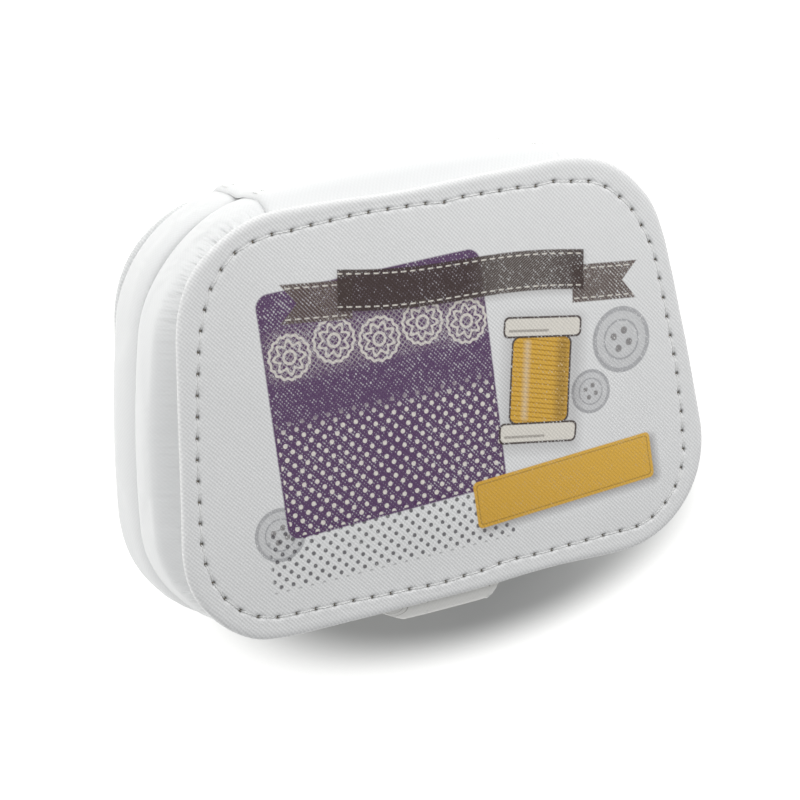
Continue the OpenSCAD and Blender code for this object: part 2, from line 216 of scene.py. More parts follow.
def loop_mesh(rows, tube=False):
    """A mesh of closed loops, one for each row of points, joined in turn, and as a tube the last one
    with the first. The UV map runs round the case and across the rows, in metres."""
    mesh = bmesh.new()
    mesh.verts.layers.float.new("worked")
    layer = mesh.loops.layers.uv.new("around")
    loops = [[mesh.verts.new(Vector(point) * MM) for point in row] for row in rows]
    count = len(rows[0])
    across = [0.0]
    for low, high in zip(rows, rows[1:] + rows[:1]):
        steps = [(Vector(a) - Vector(b)).length for a, b in zip(low[::16], high[::16])]
        across.append(across[-1] + sum(steps) / len(steps))
    around = [0.0]
    middle = rows[len(rows) // 2]
    for k in range(count):
        around.append(around[-1] + (Vector(middle[k]) - Vector(middle[(k + 1) % count])).length)
    for r, (low, high) in enumerate(zip(loops, loops[1:] + loops[:1] if tube else loops[1:])):
        for k, corners in enumerate(quads(low, high)):
            steps = ((k, r), (k + 1, r), (k + 1, r + 1), (k, r + 1))
            add_face(mesh, corners, layer, [(around[u] * MM, across[v] * MM) for u, v in steps])
    return mesh, loops


def outline_rows(stations, profile):
    """Rows of points round the case, one for each offset and height of a profile."""
    return [[((p + out * off).x, (p + out * off).y, z) for p, out in stations] for off, z in profile]


def close_on_pole(mesh, loop):
    """Fills a flat loop with rings that shrink onto one point in its middle."""
    middle = sum((vertex.co for vertex in loop), Vector()) / len(loop)
    start = [vertex.co.copy() for vertex in loop]
    ring = loop
    for share in (0.7, 0.4, 0.15):
        inner = [mesh.verts.new(middle + (co - middle) * share) for co in start]
        for corners in quads(ring, inner):
            add_face(mesh, corners)
        ring = inner
    pole = mesh.verts.new(middle)
    for k, vertex in enumerate(ring):
        add_face(mesh, (vertex, ring[(k + 1) % len(ring)], pole))


def make_piece(name, mesh, material):
    """Turns a finished mesh into a piece of the object, its normals facing outwards."""
    bmesh.ops.recalc_face_normals(mesh, faces=mesh.faces)
    data = bpy.data.meshes.new(name)
    mesh.to_mesh(data)
    mesh.free()
    piece = bpy.data.objects.new(name, data)
    bpy.context.collection.objects.link(piece)
    data.materials.append(material)
    return piece


def shape_by(piece, kind, **settings):
    """Adds one modifier to a piece and applies it."""
    modifier = piece.modifiers.new(kind.lower(), kind)
    for setting, value in settings.items():
        setattr(modifier, setting, value)
    bpy.context.view_layer.objects.active = piece
    bpy.ops.object.modifier_apply(modifier=modifier.name)


# ---- Leathercloth ----
# White coated cloth, pressed with a fine cross-hatch of slanting ridges. It covers panels, walls,
# strip and strap. The same ridges show everywhere; on the walls they are drawn out flatter.
class Wire:
    """A value in a shader tree that grows by arithmetic, one Math node for each step."""

    def __init__(self, tree, socket):
        self.tree, self.socket = tree, socket

    def run(self, operation, *others, clamp=False):
        """The result of one Math node on this value and others, which are values or plain numbers."""
        step = self.tree.nodes.new("ShaderNodeMath")
        step.operation = operation
        step.use_clamp = clamp
        for k, value in enumerate((self, *others)):
            if isinstance(value, Wire):
                self.tree.links.new(value.socket, step.inputs[k])
            else:
                step.inputs[k].default_value = value
        return Wire(self.tree, step.outputs[0])

    def __add__(self, other):
        return self.run("ADD", other)

    def __sub__(self, other):
        return self.run("SUBTRACT", other)

    def __mul__(self, other):
        return self.run("MULTIPLY", other)

    def abs(self):
        """This value without its sign."""
        return self.run("ABSOLUTE")

    def most(self, other):
        """The larger of this value and another."""
        return self.run("MAXIMUM", other)

    def ramp(self, low, high):
        """0 below low, 1 above high, straight between; high may be the lower one."""
        step = self.tree.nodes.new("ShaderNodeMapRange")
        self.tree.links.new(self.socket, step.inputs["Value"])
        dial(step, From_Min=low, From_Max=high)
        return Wire(self.tree, step.outputs["Result"])


def noise(tree, vector, scale, detail=2.0, rough=0.5):
    """A noise from 0 to 1 over a place, as a value; scale is in blotches to the metre."""
    step = tree.nodes.new("ShaderNodeTexNoise")
    dial(step, Scale=scale, Detail=detail, Roughness=rough)
    tree.links.new(vector, step.inputs["Vector"])
    return Wire(tree, step.outputs["Fac"])


def split(tree, vector):
    """The three parts of a vector, as values."""
    step = tree.nodes.new("ShaderNodeSeparateXYZ")
    tree.links.new(vector, step.inputs[0])
    return [Wire(tree, out) for out in step.outputs]


def mixed(tree, share, first, second):
    """A colour with a share of a second one over it; each is a socket or a plain colour."""
    mix = tree.nodes.new("ShaderNodeMix")
    mix.data_type = "RGBA"
    tree.links.new(share.socket, mix.inputs["Factor"])
    for slot, colour in (("A", first), ("B", second)):
        if isinstance(colour, tuple):
            mix.inputs[slot].default_value = colour
        else:
            tree.links.new(colour, mix.inputs[slot])
    return mix.outputs["Result"]


def relief(tree, height, depth, under=None):
    """The tilt of a surface by a height from 0 to 1, depth in metres, over another relief if given."""
    bump = tree.nodes.new("ShaderNodeBump")
    dial(bump, Distance=depth)
    tree.links.new(height.socket, bump.inputs["Height"])
    if under:
        tree.links.new(under, bump.inputs["Normal"])
    return bump.outputs["Normal"]


GRAIN_PITCH, GRAIN_SLANT = 0.60 * MM, math.radians(41)
# The near-black painted into the needle holes, as painted shade.
HOLE_SHADE_COLOUR = (0.03, 0.028, 0.022, 1)
PLEAT_DEPTH = 0.55 * MM


def grain_group():
    """The pressed cross-hatch as a height from 0 to 1, for a vector in metres."""
    group = bpy.data.node_groups.new("pressed_grain", "ShaderNodeTree")
    group.interface.new_socket("Vector", in_out="INPUT", socket_type="NodeSocketVector")
    group.interface.new_socket("Height", in_out="OUTPUT", socket_type="NodeSocketFloat")
    group.interface.new_socket("Mottle", in_out="OUTPUT", socket_type="NodeSocketFloat")
    start, end = group.nodes.new("NodeGroupInput"), group.nodes.new("NodeGroupOutput")
    vector = start.outputs["Vector"]
    x, y, _ = split(group, vector)
    drift = noise(group, vector, 260.0) - 0.5
    fine = noise(group, vector, 1500.0, 2.0, 0.6)
    turn_rate = 2 * math.pi / GRAIN_PITCH
    c, s = math.cos(GRAIN_SLANT), math.sin(GRAIN_SLANT)
    first = (x * c + y * s) * turn_rate + drift * 4.0
    second = (x * c - y * s) * turn_rate - drift * 4.0
    ridges = first.run("SINE") * 0.34 + second.run("SINE") * 0.2
    broken = ridges * (fine * 0.9 + 0.45) + fine * 0.3
    height = (broken + 0.36).run("MULTIPLY", 0.95, clamp=True)
    group.links.new(height.socket, end.inputs["Height"])
    mottle = noise(group, vector, 60.0, 4.0, 0.6)
    group.links.new(mottle.socket, end.inputs["Mottle"])
    return group


PRESSED_GRAIN = grain_group()


def leathercloth(name, colour, source, depth, shade, work=None, decorate=None):
    """A coated cloth; source is Object or UV, depth how deep its ridges are, in metres, and shade how much
    its valleys are painted darker and its ridges lighter, as painted shade and highlight. The piece's worked
    attribute marks its needle holes, which are painted near-black as shade when work asks for pits, or where
    it is gathered, with work as folds; decorate adds a print."""
    material = bpy.data.materials.new(name)
    material.use_nodes = True
    tree = material.node_tree
    shader = tree.nodes["Principled BSDF"]
    where = tree.nodes.new("ShaderNodeTexCoord").outputs[source]
    grain = tree.nodes.new("ShaderNodeGroup")
    grain.node_tree = PRESSED_GRAIN
    tree.links.new(where, grain.inputs["Vector"])
    height, mottle = Wire(tree, grain.outputs["Height"]), Wire(tree, grain.outputs["Mottle"])
    # The ridges' valleys are painted darker and their tops lighter, a painted shade and highlight of the
    # relief; the mottle is a random tone.
    dark, light = [c * (1 - shade) for c in colour], [min(1, c * (1 + shade)) for c in colour]
    out = mixed(tree, height * 0.8 + mottle * 0.3, (*dark, 1), (*light, 1))
    if decorate:
        out = decorate(tree, where, height, out)
    attribute = tree.nodes.new("ShaderNodeAttribute")
    attribute.attribute_name = "worked"
    mark = Wire(tree, attribute.outputs["Fac"])
    # The needle holes are painted near-black, a painted shade in each hole.
    if work == "shaded_pits":
        out = mixed(tree, mark, out, HOLE_SHADE_COLOUR)
    tree.links.new(out, shader.inputs["Base Color"])
    tree.links.new((mottle * 0.12 + height * -0.08 + 0.46).socket, shader.inputs["Roughness"])
    dial(shader, Specular_IOR_Level=0.35)
    crease = None
    if work == "folds":
        stretch = tree.nodes.new("ShaderNodeMapping")
        dial(stretch, Scale=(1.0, 0.16, 1.0), Rotation=(0, 0, 0.12))
        tree.links.new(where, stretch.inputs["Vector"])
        pleats = noise(tree, stretch.outputs["Vector"], 850.0, 1.5, 0.5)
        crease = relief(tree, pleats.ramp(0.3, 0.7) * mark, PLEAT_DEPTH)
    tree.links.new(relief(tree, height, depth, crease), shader.inputs["Normal"])
    return material


# The lid panel's cloth is the walls' cloth painted a little lighter, as painted light, to make up for the lid
# face getting less light than the walls.
PANEL_CLOTH_LIGHTENED = (0.80, 0.80, 0.797)
WALL_CLOTH = (0.76, 0.765, 0.765)
base_cloth = leathercloth("base_leathercloth", WALL_CLOTH, "Object", 0.06 * MM, 0.1, "shaded_pits")
wall_cloth = leathercloth("wall_leathercloth", WALL_CLOTH, "UV", 0.012 * MM, 0.025, "folds")


# ---- Print ----
# Screen-printed inks on the lid: a purple panel with white dots and rosettes, small dark dots, a
# spool of mustard thread, a brown ribbon, faded buttons and a blank label. The ink misses the
# grain's valleys and is rubbed thin.
# A motif's place is x and y in mm and a turn in degrees, and a button's is x, y and its radius.
BUTTONS = ((39.5, 3.0, 6.6), (31.5, -6.0, 4.4), (-37.5, -20.0, 5.2))
PURPLE_AT, PURPLE_W = (-13.0, 2.5, 1.5), 47
WHITE_DOT_PITCH, WHITE_DOT_R = 2.7, 0.46
DARK_DOT_PITCH, DARK_DOT_R = 2.5, 0.42
ROSETTES, ROSETTE_PITCH, ROSETTE_X, ROSETTE_Y = 5, 9.3, -31.5, 13.6
PETAL_R, EYE_R, SCALLOP_R = 2.7, 1.2, 4.1
SPOOL_AT, SPOOL_END = (20.5, -1.5, -9), 10.4
RIBBON_X, RIBBON_Y, RIBBON_TURN = 6.0, 21.0, -6
LABEL_AT, LABEL_W, LABEL_H = (24.0, -22.5, 3), 40.5, 9.4


def ink(code):
    """The linear colour of a web colour code."""
    parts = [int(code[k:k + 2], 16) / 255 for k in (0, 2, 4)]
    return (*[c / 12.92 if c <= 0.04045 else ((c + 0.055) / 1.055) ** 2.4 for c in parts], 1)


def printed(tree, where, height, cloth):
    """Lays the print's inks over the cloth's colour, with all places and sizes in mm."""
    x, y, _ = split(tree, where)
    x, y = x * 1000.0, y * 1000.0
    x = x + (noise(tree, where, 420.0, 3.0, 0.6) - 0.5) * 0.22
    state = [cloth]

    def turned(cx, cy, degrees):
        """The place as seen from a motif's middle, square to the motif."""
        c, s = math.cos(math.radians(degrees)), math.sin(math.radians(degrees))
        dx, dy = x - cx, y - cy
        return dx * c + dy * s, dy * c - dx * s

    def block(u, v, w, h, r, soft=0.1):
        """1 inside a block with rounded corners, 0 outside."""
        qx = (u.abs() - (w / 2 - r)).most(0.0)
        qy = (v.abs() - (h / 2 - r)).most(0.0)
        return ((qx * qx + qy * qy).run("SQRT") - r).ramp(soft, -soft)

    def disc(u, v, r):
        """1 inside a disc, 0 outside."""
        return ((u * u + v * v).run("SQRT") - r).ramp(0.1, -0.1)

    def dots(u, v, pitch, r):
        """1 inside dots set in staggered rows, 0 outside."""
        found = None
        for half in (0.0, 0.5):
            gu = (u * (1 / pitch) + half).run("FRACT") - 0.5
            gv = (v * (1 / pitch) + half).run("FRACT") - 0.5
            one = ((gu * gu + gv * gv).run("SQRT") * pitch - r).ramp(0.09, -0.09)
            found = one if found is None else found.most(one)
        return found

    def stripes(value, pitch, share):
        """1 on a share of each pitch, 0 on the rest."""
        return ((value * (1 / pitch)).run("FRACT") - share).ramp(0.08, -0.08)

    worn = noise(tree, where, 1100.0, 3.0, 0.7)
    patches = noise(tree, where, 55.0, 3.0, 0.6)
    cover = (worn * 0.7 + height * 0.35 + patches * 0.25 - 0.28).ramp(0.12, 0.3)

    def lay(mask, colour, strength=0.96, wear=1.0):
        """Adds one ink where the mask is 1, rubbed off as the wear says."""
        kept = mask * strength * (cover * wear + (1 - wear))
        state[0] = mixed(tree, kept, state[0], colour)

    purple, mustard, brown = ink("54305F"), ink("E6B548"), ink("463936")
    cream, grey = ink("EAE5DB"), ink("8E8E92")

    # buttons, faded into the cloth
    for cx, cy, r in BUTTONS:
        u, v = turned(cx, cy, 20)
        rim = disc(u, v, r) - disc(u, v, r * 0.86)
        lay(disc(u, v, r), grey, 0.32)
        lay(rim, grey, 0.5)
        lay(disc(u, v, r * 0.62) - disc(u, v, r * 0.56), grey, 0.6)
        for hu, hv in ((1, 1), (1, -1), (-1, 1), (-1, -1)):
            lay(disc(u + hu * r * 0.2, v + hv * r * 0.2, r * 0.11), brown, 0.6)

    # dark dots below the panel
    field = block(x + 14.0, y + 25.0, 52, 12, 0.5, 0.3)
    lay(field * dots(x + y * 0.05, y, DARK_DOT_PITCH, DARK_DOT_R), ink("4E4B50"), 0.85, 0.5)

    # purple panel with white dots on its lower half
    u, v = turned(*PURPLE_AT)
    lay(block(u, v, PURPLE_W, PURPLE_W, 2.6, 0.15), purple, 0.96, 0.8)
    spots = dots(u, v, WHITE_DOT_PITCH, WHITE_DOT_R)
    lay(block(u, v, PURPLE_W - 1, PURPLE_W - 1, 2.6) * spots * (v + 2.0).ramp(1.5, -1.5), cream, 0.95, 0.2)

    # a border of lace rosettes on its upper half, over fine net
    net = stripes(u + v, 1.1, 0.28).most(stripes(u - v, 1.1, 0.28))
    lay(block(u, v - 11.5, PURPLE_W - 1, 9.5, 2.0, 1.2) * net, cream, 0.34)
    for k in range(ROSETTES):
        lift = 0.9 if k % 2 else -0.6
        lu, lv = turned(ROSETTE_X + ROSETTE_PITCH * k, ROSETTE_Y + lift, 12 * k)
        r = (lu * lu + lv * lv).run("SQRT")
        angle = lv.run("ARCTAN2", lu)
        petals = (r - PETAL_R - (angle * 8.0).run("COSINE") * 0.5).abs().ramp(0.42, 0.24)
        eye = (r - EYE_R).abs().ramp(0.34, 0.2)
        scallop = (r - SCALLOP_R - (angle * 16.0).run("COSINE") * 0.16).abs().ramp(0.36, 0.2)
        lay(petals.most(eye).most(scallop), cream, 0.85, 0.8)

    # spool of mustard thread
    u, v = turned(*SPOOL_AT)
    lay(block(u - 0.5, v + 0.6, 17.5, 27, 1.5, 1.4), brown, 0.25, 0.3)
    for centre in (SPOOL_END, -SPOOL_END):
        lay(block(u, v - centre, 17.4, 4.2, 1.2), brown)
        lay(block(u, v - centre, 16.6, 3.4, 0.9), cream, 0.97, 0.3)
        lay(block(u + 3.0, v - centre + 0.7, 9.0, 0.5, 0.2), brown, 0.5)
    lay(block(u, v, 13.4, 17.2, 1.6), brown)
    lay(block(u, v, 12.6, 16.6, 1.4), mustard, 0.97, 0.35)
    lay(block(u, v, 12.6, 16.6, 1.4) * stripes(v + u * 0.12, 0.95, 0.3), ink("AA7C22"), 0.7)
    lay(block(u - 4.8, v, 2.6, 16.4, 1.2, 0.8), brown, 0.4)
    lay(block(u + 3.2, v, 1.2, 15.6, 0.5, 0.5), cream, 0.4)

    # ribbon with a row of stitches along both edges
    for side in (-1, 1):
        u, v = turned(RIBBON_X + side * 31.5, RIBBON_Y - side * 3.6 - 2.3, RIBBON_TURN)
        tail = (u * side - v.abs() * 0.9 - 3.4).ramp(0.12, -0.12) * (u * side + 8.0).ramp(-0.12, 0.12)
        tail = tail * (v.abs() - 3.7).ramp(0.12, -0.12)
        lay(tail, ink("5A4B47"))
        lay(tail * stripes(u + v, 0.8, 0.35), cream, 0.2)
        lay(tail * (v.abs() - 2.9).abs().ramp(0.2, 0.1) * stripes(u, 1.9, 0.6), cream, 0.8)
    u, v = turned(RIBBON_X, RIBBON_Y, RIBBON_TURN)
    bow = v - (u * 0.11).run("SINE") * 0.7
    band = (u.abs() - 26.5).ramp(0.12, -0.12) * (bow.abs() - 3.9).ramp(0.12, -0.12)
    lay((u.abs() - 26.8).ramp(0.8, -0.8) * ((bow + 0.7).abs() - 4.0).ramp(0.8, -0.8), brown, 0.3, 0.3)
    lay(band, brown)
    lay(band * stripes(u - bow * 1.3, 0.7, 0.3) * (u * 0.12).run("SINE").ramp(0.1, 0.9), cream, 0.28)
    lay(band * (bow.abs() - 3.1).abs().ramp(0.2, 0.1) * stripes(u, 1.9, 0.6), cream, 0.85)

    # blank mustard label with a soft shadow
    u, v = turned(*LABEL_AT)
    lay(block(u - 0.7, v + 0.8, 41, 9.6, 1.2, 1.1), brown, 0.55, 0.2)
    lay(block(u, v, LABEL_W, LABEL_H, 1.0), mustard, 0.98, 0.25)
    lay(block(u, v, LABEL_W, LABEL_H, 1.0) * (u * 0.05 + v * 0.1).ramp(1.2, -1.2), ink("C8962F"), 0.3)
    edge = block(u, v, 39.3, 8.2, 0.7) - block(u, v, 38.9, 7.8, 0.6)
    lay(edge.most(0.0), brown, 0.45)
    return state[0]


print_cloth = leathercloth("printed_leathercloth", PANEL_CLOTH_LIGHTENED, "Object", 0.06 * MM, 0.13, "shaded_pits", printed)


# ---- Panels ----
# Each panel is a board wrapped in leathercloth, its edge turned in. A seam runs round it and pulls
# the cloth into a shallow groove, with a puckered pit at each needle hole.
STITCHES, STITCH_PITCH = 80, 3.98
STEPS_A_STITCH = 16
# how far the seam and the panel's edge stray outwards, as (stitch, mm)
SEAM_SHIFTS = [(0.8, 0.45), (2.6, -0.3), (4.5, -0.1), (5.9, -0.3), (8.75, -0.5), (10.8, 0.05),
               (12.7, -0.1), (14.6, -0.5), (15.6, -0.95), (17.5, -0.2), (19.6, 0.4), (22.8, 0.4),
               (24.8, 0.2), (26.9, -0.6), (28.7, -0.4), (30.5, -0.1), (32.2, -0.5), (33.1, 0.0),
               (34.3, -0.3), (35.2, 0.05), (38.2, 0.2), (39.2, -0.2), (40.3, 0.3), (43.3, 0.55),
               (46.2, 0.1), (47.3, -0.3), (48.2, -0.1), (50.1, 0.4), (51.9, -0.1), (53.5, -0.6),
               (55.0, -0.1), (57.1, 0.3), (60.2, 0.5), (62.3, 0.2), (64.5, -0.1), (68.1, 0.3),
               (71.1, -0.4), (73.2, -0.2), (76.4, 0.4), (78.7, 0.8)]
EDGE_SHIFTS = [(0.0, 0.1), (5.0, -0.5), (9.0, -0.1), (20.0, 0.1), (23.0, -0.1), (26.0, -0.45),
               (28.0, 0.2), (30.0, 0.6), (32.5, 0.3), (36.0, 0.0), (41.3, -0.5), (46.0, 0.0),
               (50.0, 0.0), (52.0, 0.5), (54.5, 0.1), (63.6, -0.3), (66.5, 0.55), (69.0, 0.6),
               (70.5, 0.0), (76.0, 0.1)]


def shift_at(shifts, stitch):
    """A measure given at some stitches, eased from one to the next round the seam."""
    stitch %= STITCHES
    ring = [(shifts[-1][0] - STITCHES, shifts[-1][1]), *shifts, (shifts[0][0] + STITCHES, shifts[0][1])]
    for (a, low), (b, high) in zip(ring, ring[1:]):
        if a <= stitch <= b:
            part = (stitch - a) / (b - a)
            return low + (high - low) * (0.5 - 0.5 * math.cos(math.pi * part))


# across the panel: share of the way from edge to seam, depth under the face
EDGE_PROFILE = [(0.95, 1.75), (0.45, 1.72), (0.18, 1.62), (0.06, 1.4), (0.0, 1.05), (0.0, 0.75), (0.03, 0.47),
                (0.09, 0.24), (0.18, 0.08), (0.32, 0.0), (0.5, 0.0), (0.68, 0.04)]
GROOVE = [-0.75, -0.5, -0.32, -0.2, -0.1, 0.0, 0.1, 0.2, 0.32, 0.5, 0.75]
GROOVE_DEPTH, GROOVE_REACH = 0.40, 0.42
# The last measure is how far along the seam the painted shade of each needle hole reaches, in mm.
PIT_DEPTH, PIT_ACROSS, PIT_ALONG, HOLE_SHADE_ALONG = 0.5, 0.27, 0.36, 0.34
FACE_IN = [6.4, 7.6, 9.2, 11.5, 14.5, 17.5]


def near_hole(off, stitch, reach):
    """How near a place is to a needle hole, from 0 to 1; reach is along the seam, in mm."""
    along = abs(stitch - round(stitch)) * STITCH_PITCH
    return math.exp(-((off / PIT_ACROSS) ** 2 + (along / reach) ** 2))


def groove_depth(off, stitch):
    """How deep the cloth lies at a distance from the seam, with a pit at each needle hole."""
    pulled = math.exp(-((off / GROOVE_REACH) ** 2))
    puckered = 0.62 + 0.38 * math.cos(2 * math.pi * stitch)
    return GROOVE_DEPTH * pulled * puckered + PIT_DEPTH * near_hole(off, stitch, PIT_ALONG)


def panel(name, body, top_z, up, crown, uneven, material, *nodes):
    """One covered panel, built down from its outer face, which looks along up and swells to crown."""
    stations = outline_stations(STITCHES * STEPS_A_STITCH)
    rows = []
    stitch_of = [k / STEPS_A_STITCH for k in range(len(stations))]
    seam = [-SEAM_IN + shift_at(SEAM_SHIFTS, s) for s in stitch_of]
    edge = [shift_at(EDGE_SHIFTS, s) * uneven for s in stitch_of]

    def row(places):
        """Adds a row of points, each at an offset from the outline and a depth under the face."""
        points = zip(stations, places)
        rows.append([(*(p + out * off), top_z - up * depth) for (p, out), (off, depth) in points])

    for share, depth in EDGE_PROFILE:
        row([(e + (s - e) * share, depth) for e, s in zip(edge, seam)])
    for off in GROOVE:
        row([(s - off, groove_depth(off, stitch)) for s, stitch in zip(seam, stitch_of)])
    row([(s - 1.15, 0.0) for s in seam])
    for inset in FACE_IN:
        swell = crown * min(1, (inset - 5.4) / 12) ** 0.8
        row([(-inset, -swell) for _ in stations])
    if up < 0:
        rows = [row_points[::-1] for row_points in rows]
        stitch_of = stitch_of[::-1]
    mesh, loops = loop_mesh(rows)
    # The worked attribute marks the needle holes, which the cloth paints near-black as shade.
    mark = mesh.verts.layers.float["worked"]
    for off, loop in zip(GROOVE, loops[len(EDGE_PROFILE):]):
        for vertex, stitch in zip(loop, stitch_of):
            vertex[mark] = min(1.0, 2.2 * near_hole(off, stitch, HOLE_SHADE_ALONG))
    close_on_pole(mesh, loops[-1])
    close_on_pole(mesh, loops[0][::-1])
    piece = make_piece(name, mesh, material)
    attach(piece, body)
    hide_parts(*nodes)


panel("lid_panel_cloth", "lid", CASE_H, 1, 0.35, 1.0, print_cloth, "lid_panel_cover", "lid_face_foam")
panel("base_panel_cloth", "base", 0.0, -1, 0.0, 0.3, base_cloth, "base_panel_cover")


def textured(name, low, high, scale, bump, rough, metallic=0.0):
    """A material that mottles between two colours, with the same noise as its relief."""
    material = bpy.data.materials.new(name)
    material.use_nodes = True
    tree = material.node_tree
    shader = tree.nodes["Principled BSDF"]
    where = tree.nodes.new("ShaderNodeTexCoord").outputs["Object"]
    grain = noise(tree, where, scale, 4.0, 0.65)
    tree.links.new(mixed(tree, grain.ramp(0.3, 0.7), (*low, 1), (*high, 1)), shader.inputs["Base Color"])
    dial(shader, Roughness=rough, Metallic=metallic)
    tree.links.new(relief(tree, grain, bump), shader.inputs["Normal"])
    return material


BLOCK_POINTS = 160


def outline_block(name, offset, z0, z1):
    """A flat block cut to the case's outline, drawn as a disc, moved to its line and extruded up."""
    stations = outline_stations(BLOCK_POINTS)
    bpy.ops.mesh.primitive_circle_add(vertices=BLOCK_POINTS, fill_type="NGON", calc_uvs=False)
    block = bpy.context.object
    block.name = name
    for vertex, (p, out) in zip(block.data.vertices, stations):
        at = p + out * offset
        vertex.co = Vector((at.x, at.y, z0)) * MM
    bpy.ops.object.mode_set(mode="EDIT")
    bpy.ops.mesh.select_all(action="SELECT")
    bpy.ops.mesh.extrude_region_move(TRANSFORM_OT_translate={"value": (0, 0, (z1 - z0) * MM)})
    bpy.ops.mesh.select_all(action="SELECT")
    bpy.ops.mesh.normals_make_consistent(inside=False)
    bpy.ops.object.mode_set(mode="OBJECT")
    return block


def soften(piece, width):
    """Rounds a piece's sharp edges by a width in mm and shades it smooth between them."""
    shape_by(piece, "BEVEL", width=width * MM, segments=2, limit_method="ANGLE", angle_limit=math.radians(40))
    bpy.ops.object.select_all(action="DESELECT")
    piece.select_set(True)
    bpy.ops.object.shade_smooth_by_angle(angle=math.radians(35))
    piece.select_set(False)


# The boards inside the panels: plain grey chipboard, cut a little smaller than the cloth's fold.
chipboard = textured("grey_chipboard", (0.20, 0.17, 0.13), (0.36, 0.31, 0.25), 900.0, 0.05 * MM, 0.9)
BOARD_T, BOARD_COVER, BOARD_IN = 0.9, 0.6, -1.0
for name, body, z0, node in (("lid_panel_board", "lid", CASE_H - (BOARD_COVER + BOARD_T), "lid_board"),
                             ("base_panel_board", "base", BOARD_COVER, "base_board")):
    board = outline_block(name, BOARD_IN, z0, z0 + BOARD_T)
    soften(board, 0.1)
    board.data.materials.append(chipboard)
    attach(board, body)
    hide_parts(node)

# ---- Panel seams ----
# White two-ply sewing thread, lockstitched by machine about 4 mm long: each stitch rises from one
# needle hole, lies in the seam's groove and dives into the next.
STITCH_PATH = [(-1.86, 1.0), (-1.76, 0.62), (-1.5, 0.36), (-1.0, 0.2), (-0.4, 0.13), (0.4, 0.13), (1.0, 0.2),
               (1.5, 0.36), (1.76, 0.62), (1.86, 1.0)]
PLY_R, PLY_OFF, PLY_SIDES = 0.115, 0.09, 4


def add_stitch(mesh, start, end, up, length=STITCH_PITCH, path=STITCH_PATH, turns=3.0):
    """One two-ply stitch between two holes, in mm; up is the direction out of the cloth. Its path
    is drawn for a length and is stretched to the holes."""
    along = (end - start).normalized()
    across = up.cross(along)
    middle = (start + end) / 2
    scale = (end - start).length / length
    for ply in (0, 1):
        rings = []
        for k, (t, depth) in enumerate(path):
            twist = math.pi * ply + 2 * math.pi * turns * k / (len(path) - 1)
            centre = middle + along * t * scale - up * depth
            centre = centre + across * PLY_OFF * math.cos(twist) + up * PLY_OFF * math.sin(twist)
            before, after = path[max(k - 1, 0)], path[min(k + 1, len(path) - 1)]
            ahead = (along * (after[0] - before[0]) - up * (after[1] - before[1])).normalized()
            lift = across.cross(ahead)
            angles = [2 * math.pi * (side + 0.5) / PLY_SIDES for side in range(PLY_SIDES)]
            ring = [centre + across * PLY_R * math.cos(a) - lift * PLY_R * math.sin(a) for a in angles]
            rings.append([mesh.verts.new(point * MM) for point in ring])
        for low, high in zip(rings, rings[1:]):
            for corners in quads(low, high):
                add_face(mesh, corners)
        mesh.faces.new(rings[0][::-1])
        mesh.faces.new(rings[-1])


thread = textured("white_thread", (0.72, 0.72, 0.71), (0.9, 0.9, 0.89), 2600.0, 0.03 * MM, 0.55)


def seam_thread(name, body, top_z, up, node):
    """The stitches all round one panel, from hole to hole."""
    stations = outline_stations(STITCHES * STEPS_A_STITCH)[::STEPS_A_STITCH]
    holes = []
    for k, (p, out) in enumerate(stations):
        at = p + out * (-SEAM_IN + shift_at(SEAM_SHIFTS, k))
        holes.append(Vector((at.x, at.y, top_z)))
    mesh = bmesh.new()
    for start, end in zip(holes, holes[1:] + holes[:1]):
        add_stitch(mesh, start, end, Vector((0, 0, up)))
    piece = make_piece(name, mesh, thread)
    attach(piece, body)
    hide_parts(node)


seam_thread("lid_seam_thread", "lid", CASE_H, 1, "lid_stitching")
seam_thread("base_seam_thread", "base", 0.0, -1, "base_stitching")

# ---- Walls ----
# Leathercloth drawn over soft foam on a stiff frame. It is sewn in under the panel, swells out most
# in the middle of each side, and folds over the rim to the inside.
LID_RIM, BASE_RIM = 16.65, 17.05
WALL_PROFILE = [(1.6, -2.9), (1.75, -2.5), (2.2, -1.95), (3.1, -1.2), (4.4, -0.55), (6.3, -0.1), (8.5, 0.03),
                (11.0, 0.0), (13.5, -0.15), (15.2, -0.42), (16.05, -0.75), (16.45, -1.15), (16.62, -1.6),
                (16.65, -2.2), (16.62, -2.8), (16.4, -3.05), (15.8, -3.12)]
WALL_BACK = [(12.0, -3.12), (7.0, -3.12), (3.0, -3.12), (1.75, -3.12)]
WALL_STEPS, WALL_POINTS = 3, 640
SHARED_DEPTH = 4.5  # down to here both walls' profiles are the same, and below it they stretch
# of the rows from the panel down, how many may be gathered and how many give in the simulation
GATHERED_ROWS, FREE_ROWS = 30, 34
STRIP_REACH, WALL_CAP = 33, 0.22
PUFF_FRAMES, PUFF_PRESSURE = 12, 4.0


def smooth_path(points, steps):
    """The points of a smooth curve through some places, with a number of steps between each two."""
    ends = [points[0], *points, points[-1]]
    curve = []
    for a, b, c, d in zip(ends, ends[1:], ends[2:], ends[3:]):
        for k in range(steps):
            t = k / steps
            curve.append(tuple(0.5 * (2 * q + (r - p) * t + (2 * p - 5 * q + 4 * r - s) * t * t
                                      + (3 * q - p - 3 * r + s) * t ** 3) for p, q, r, s in zip(a, b, c, d)))
    return curve + [tuple(points[-1])]


# how far the walls swell out further in the middle of the sides, the hinge wall, the front wall and
# round the corners
LID_BOWS, BASE_BOWS = (3.6, 2.4, 1.2, 0.1), (3.0, 2.4, 1.2, 0.9)


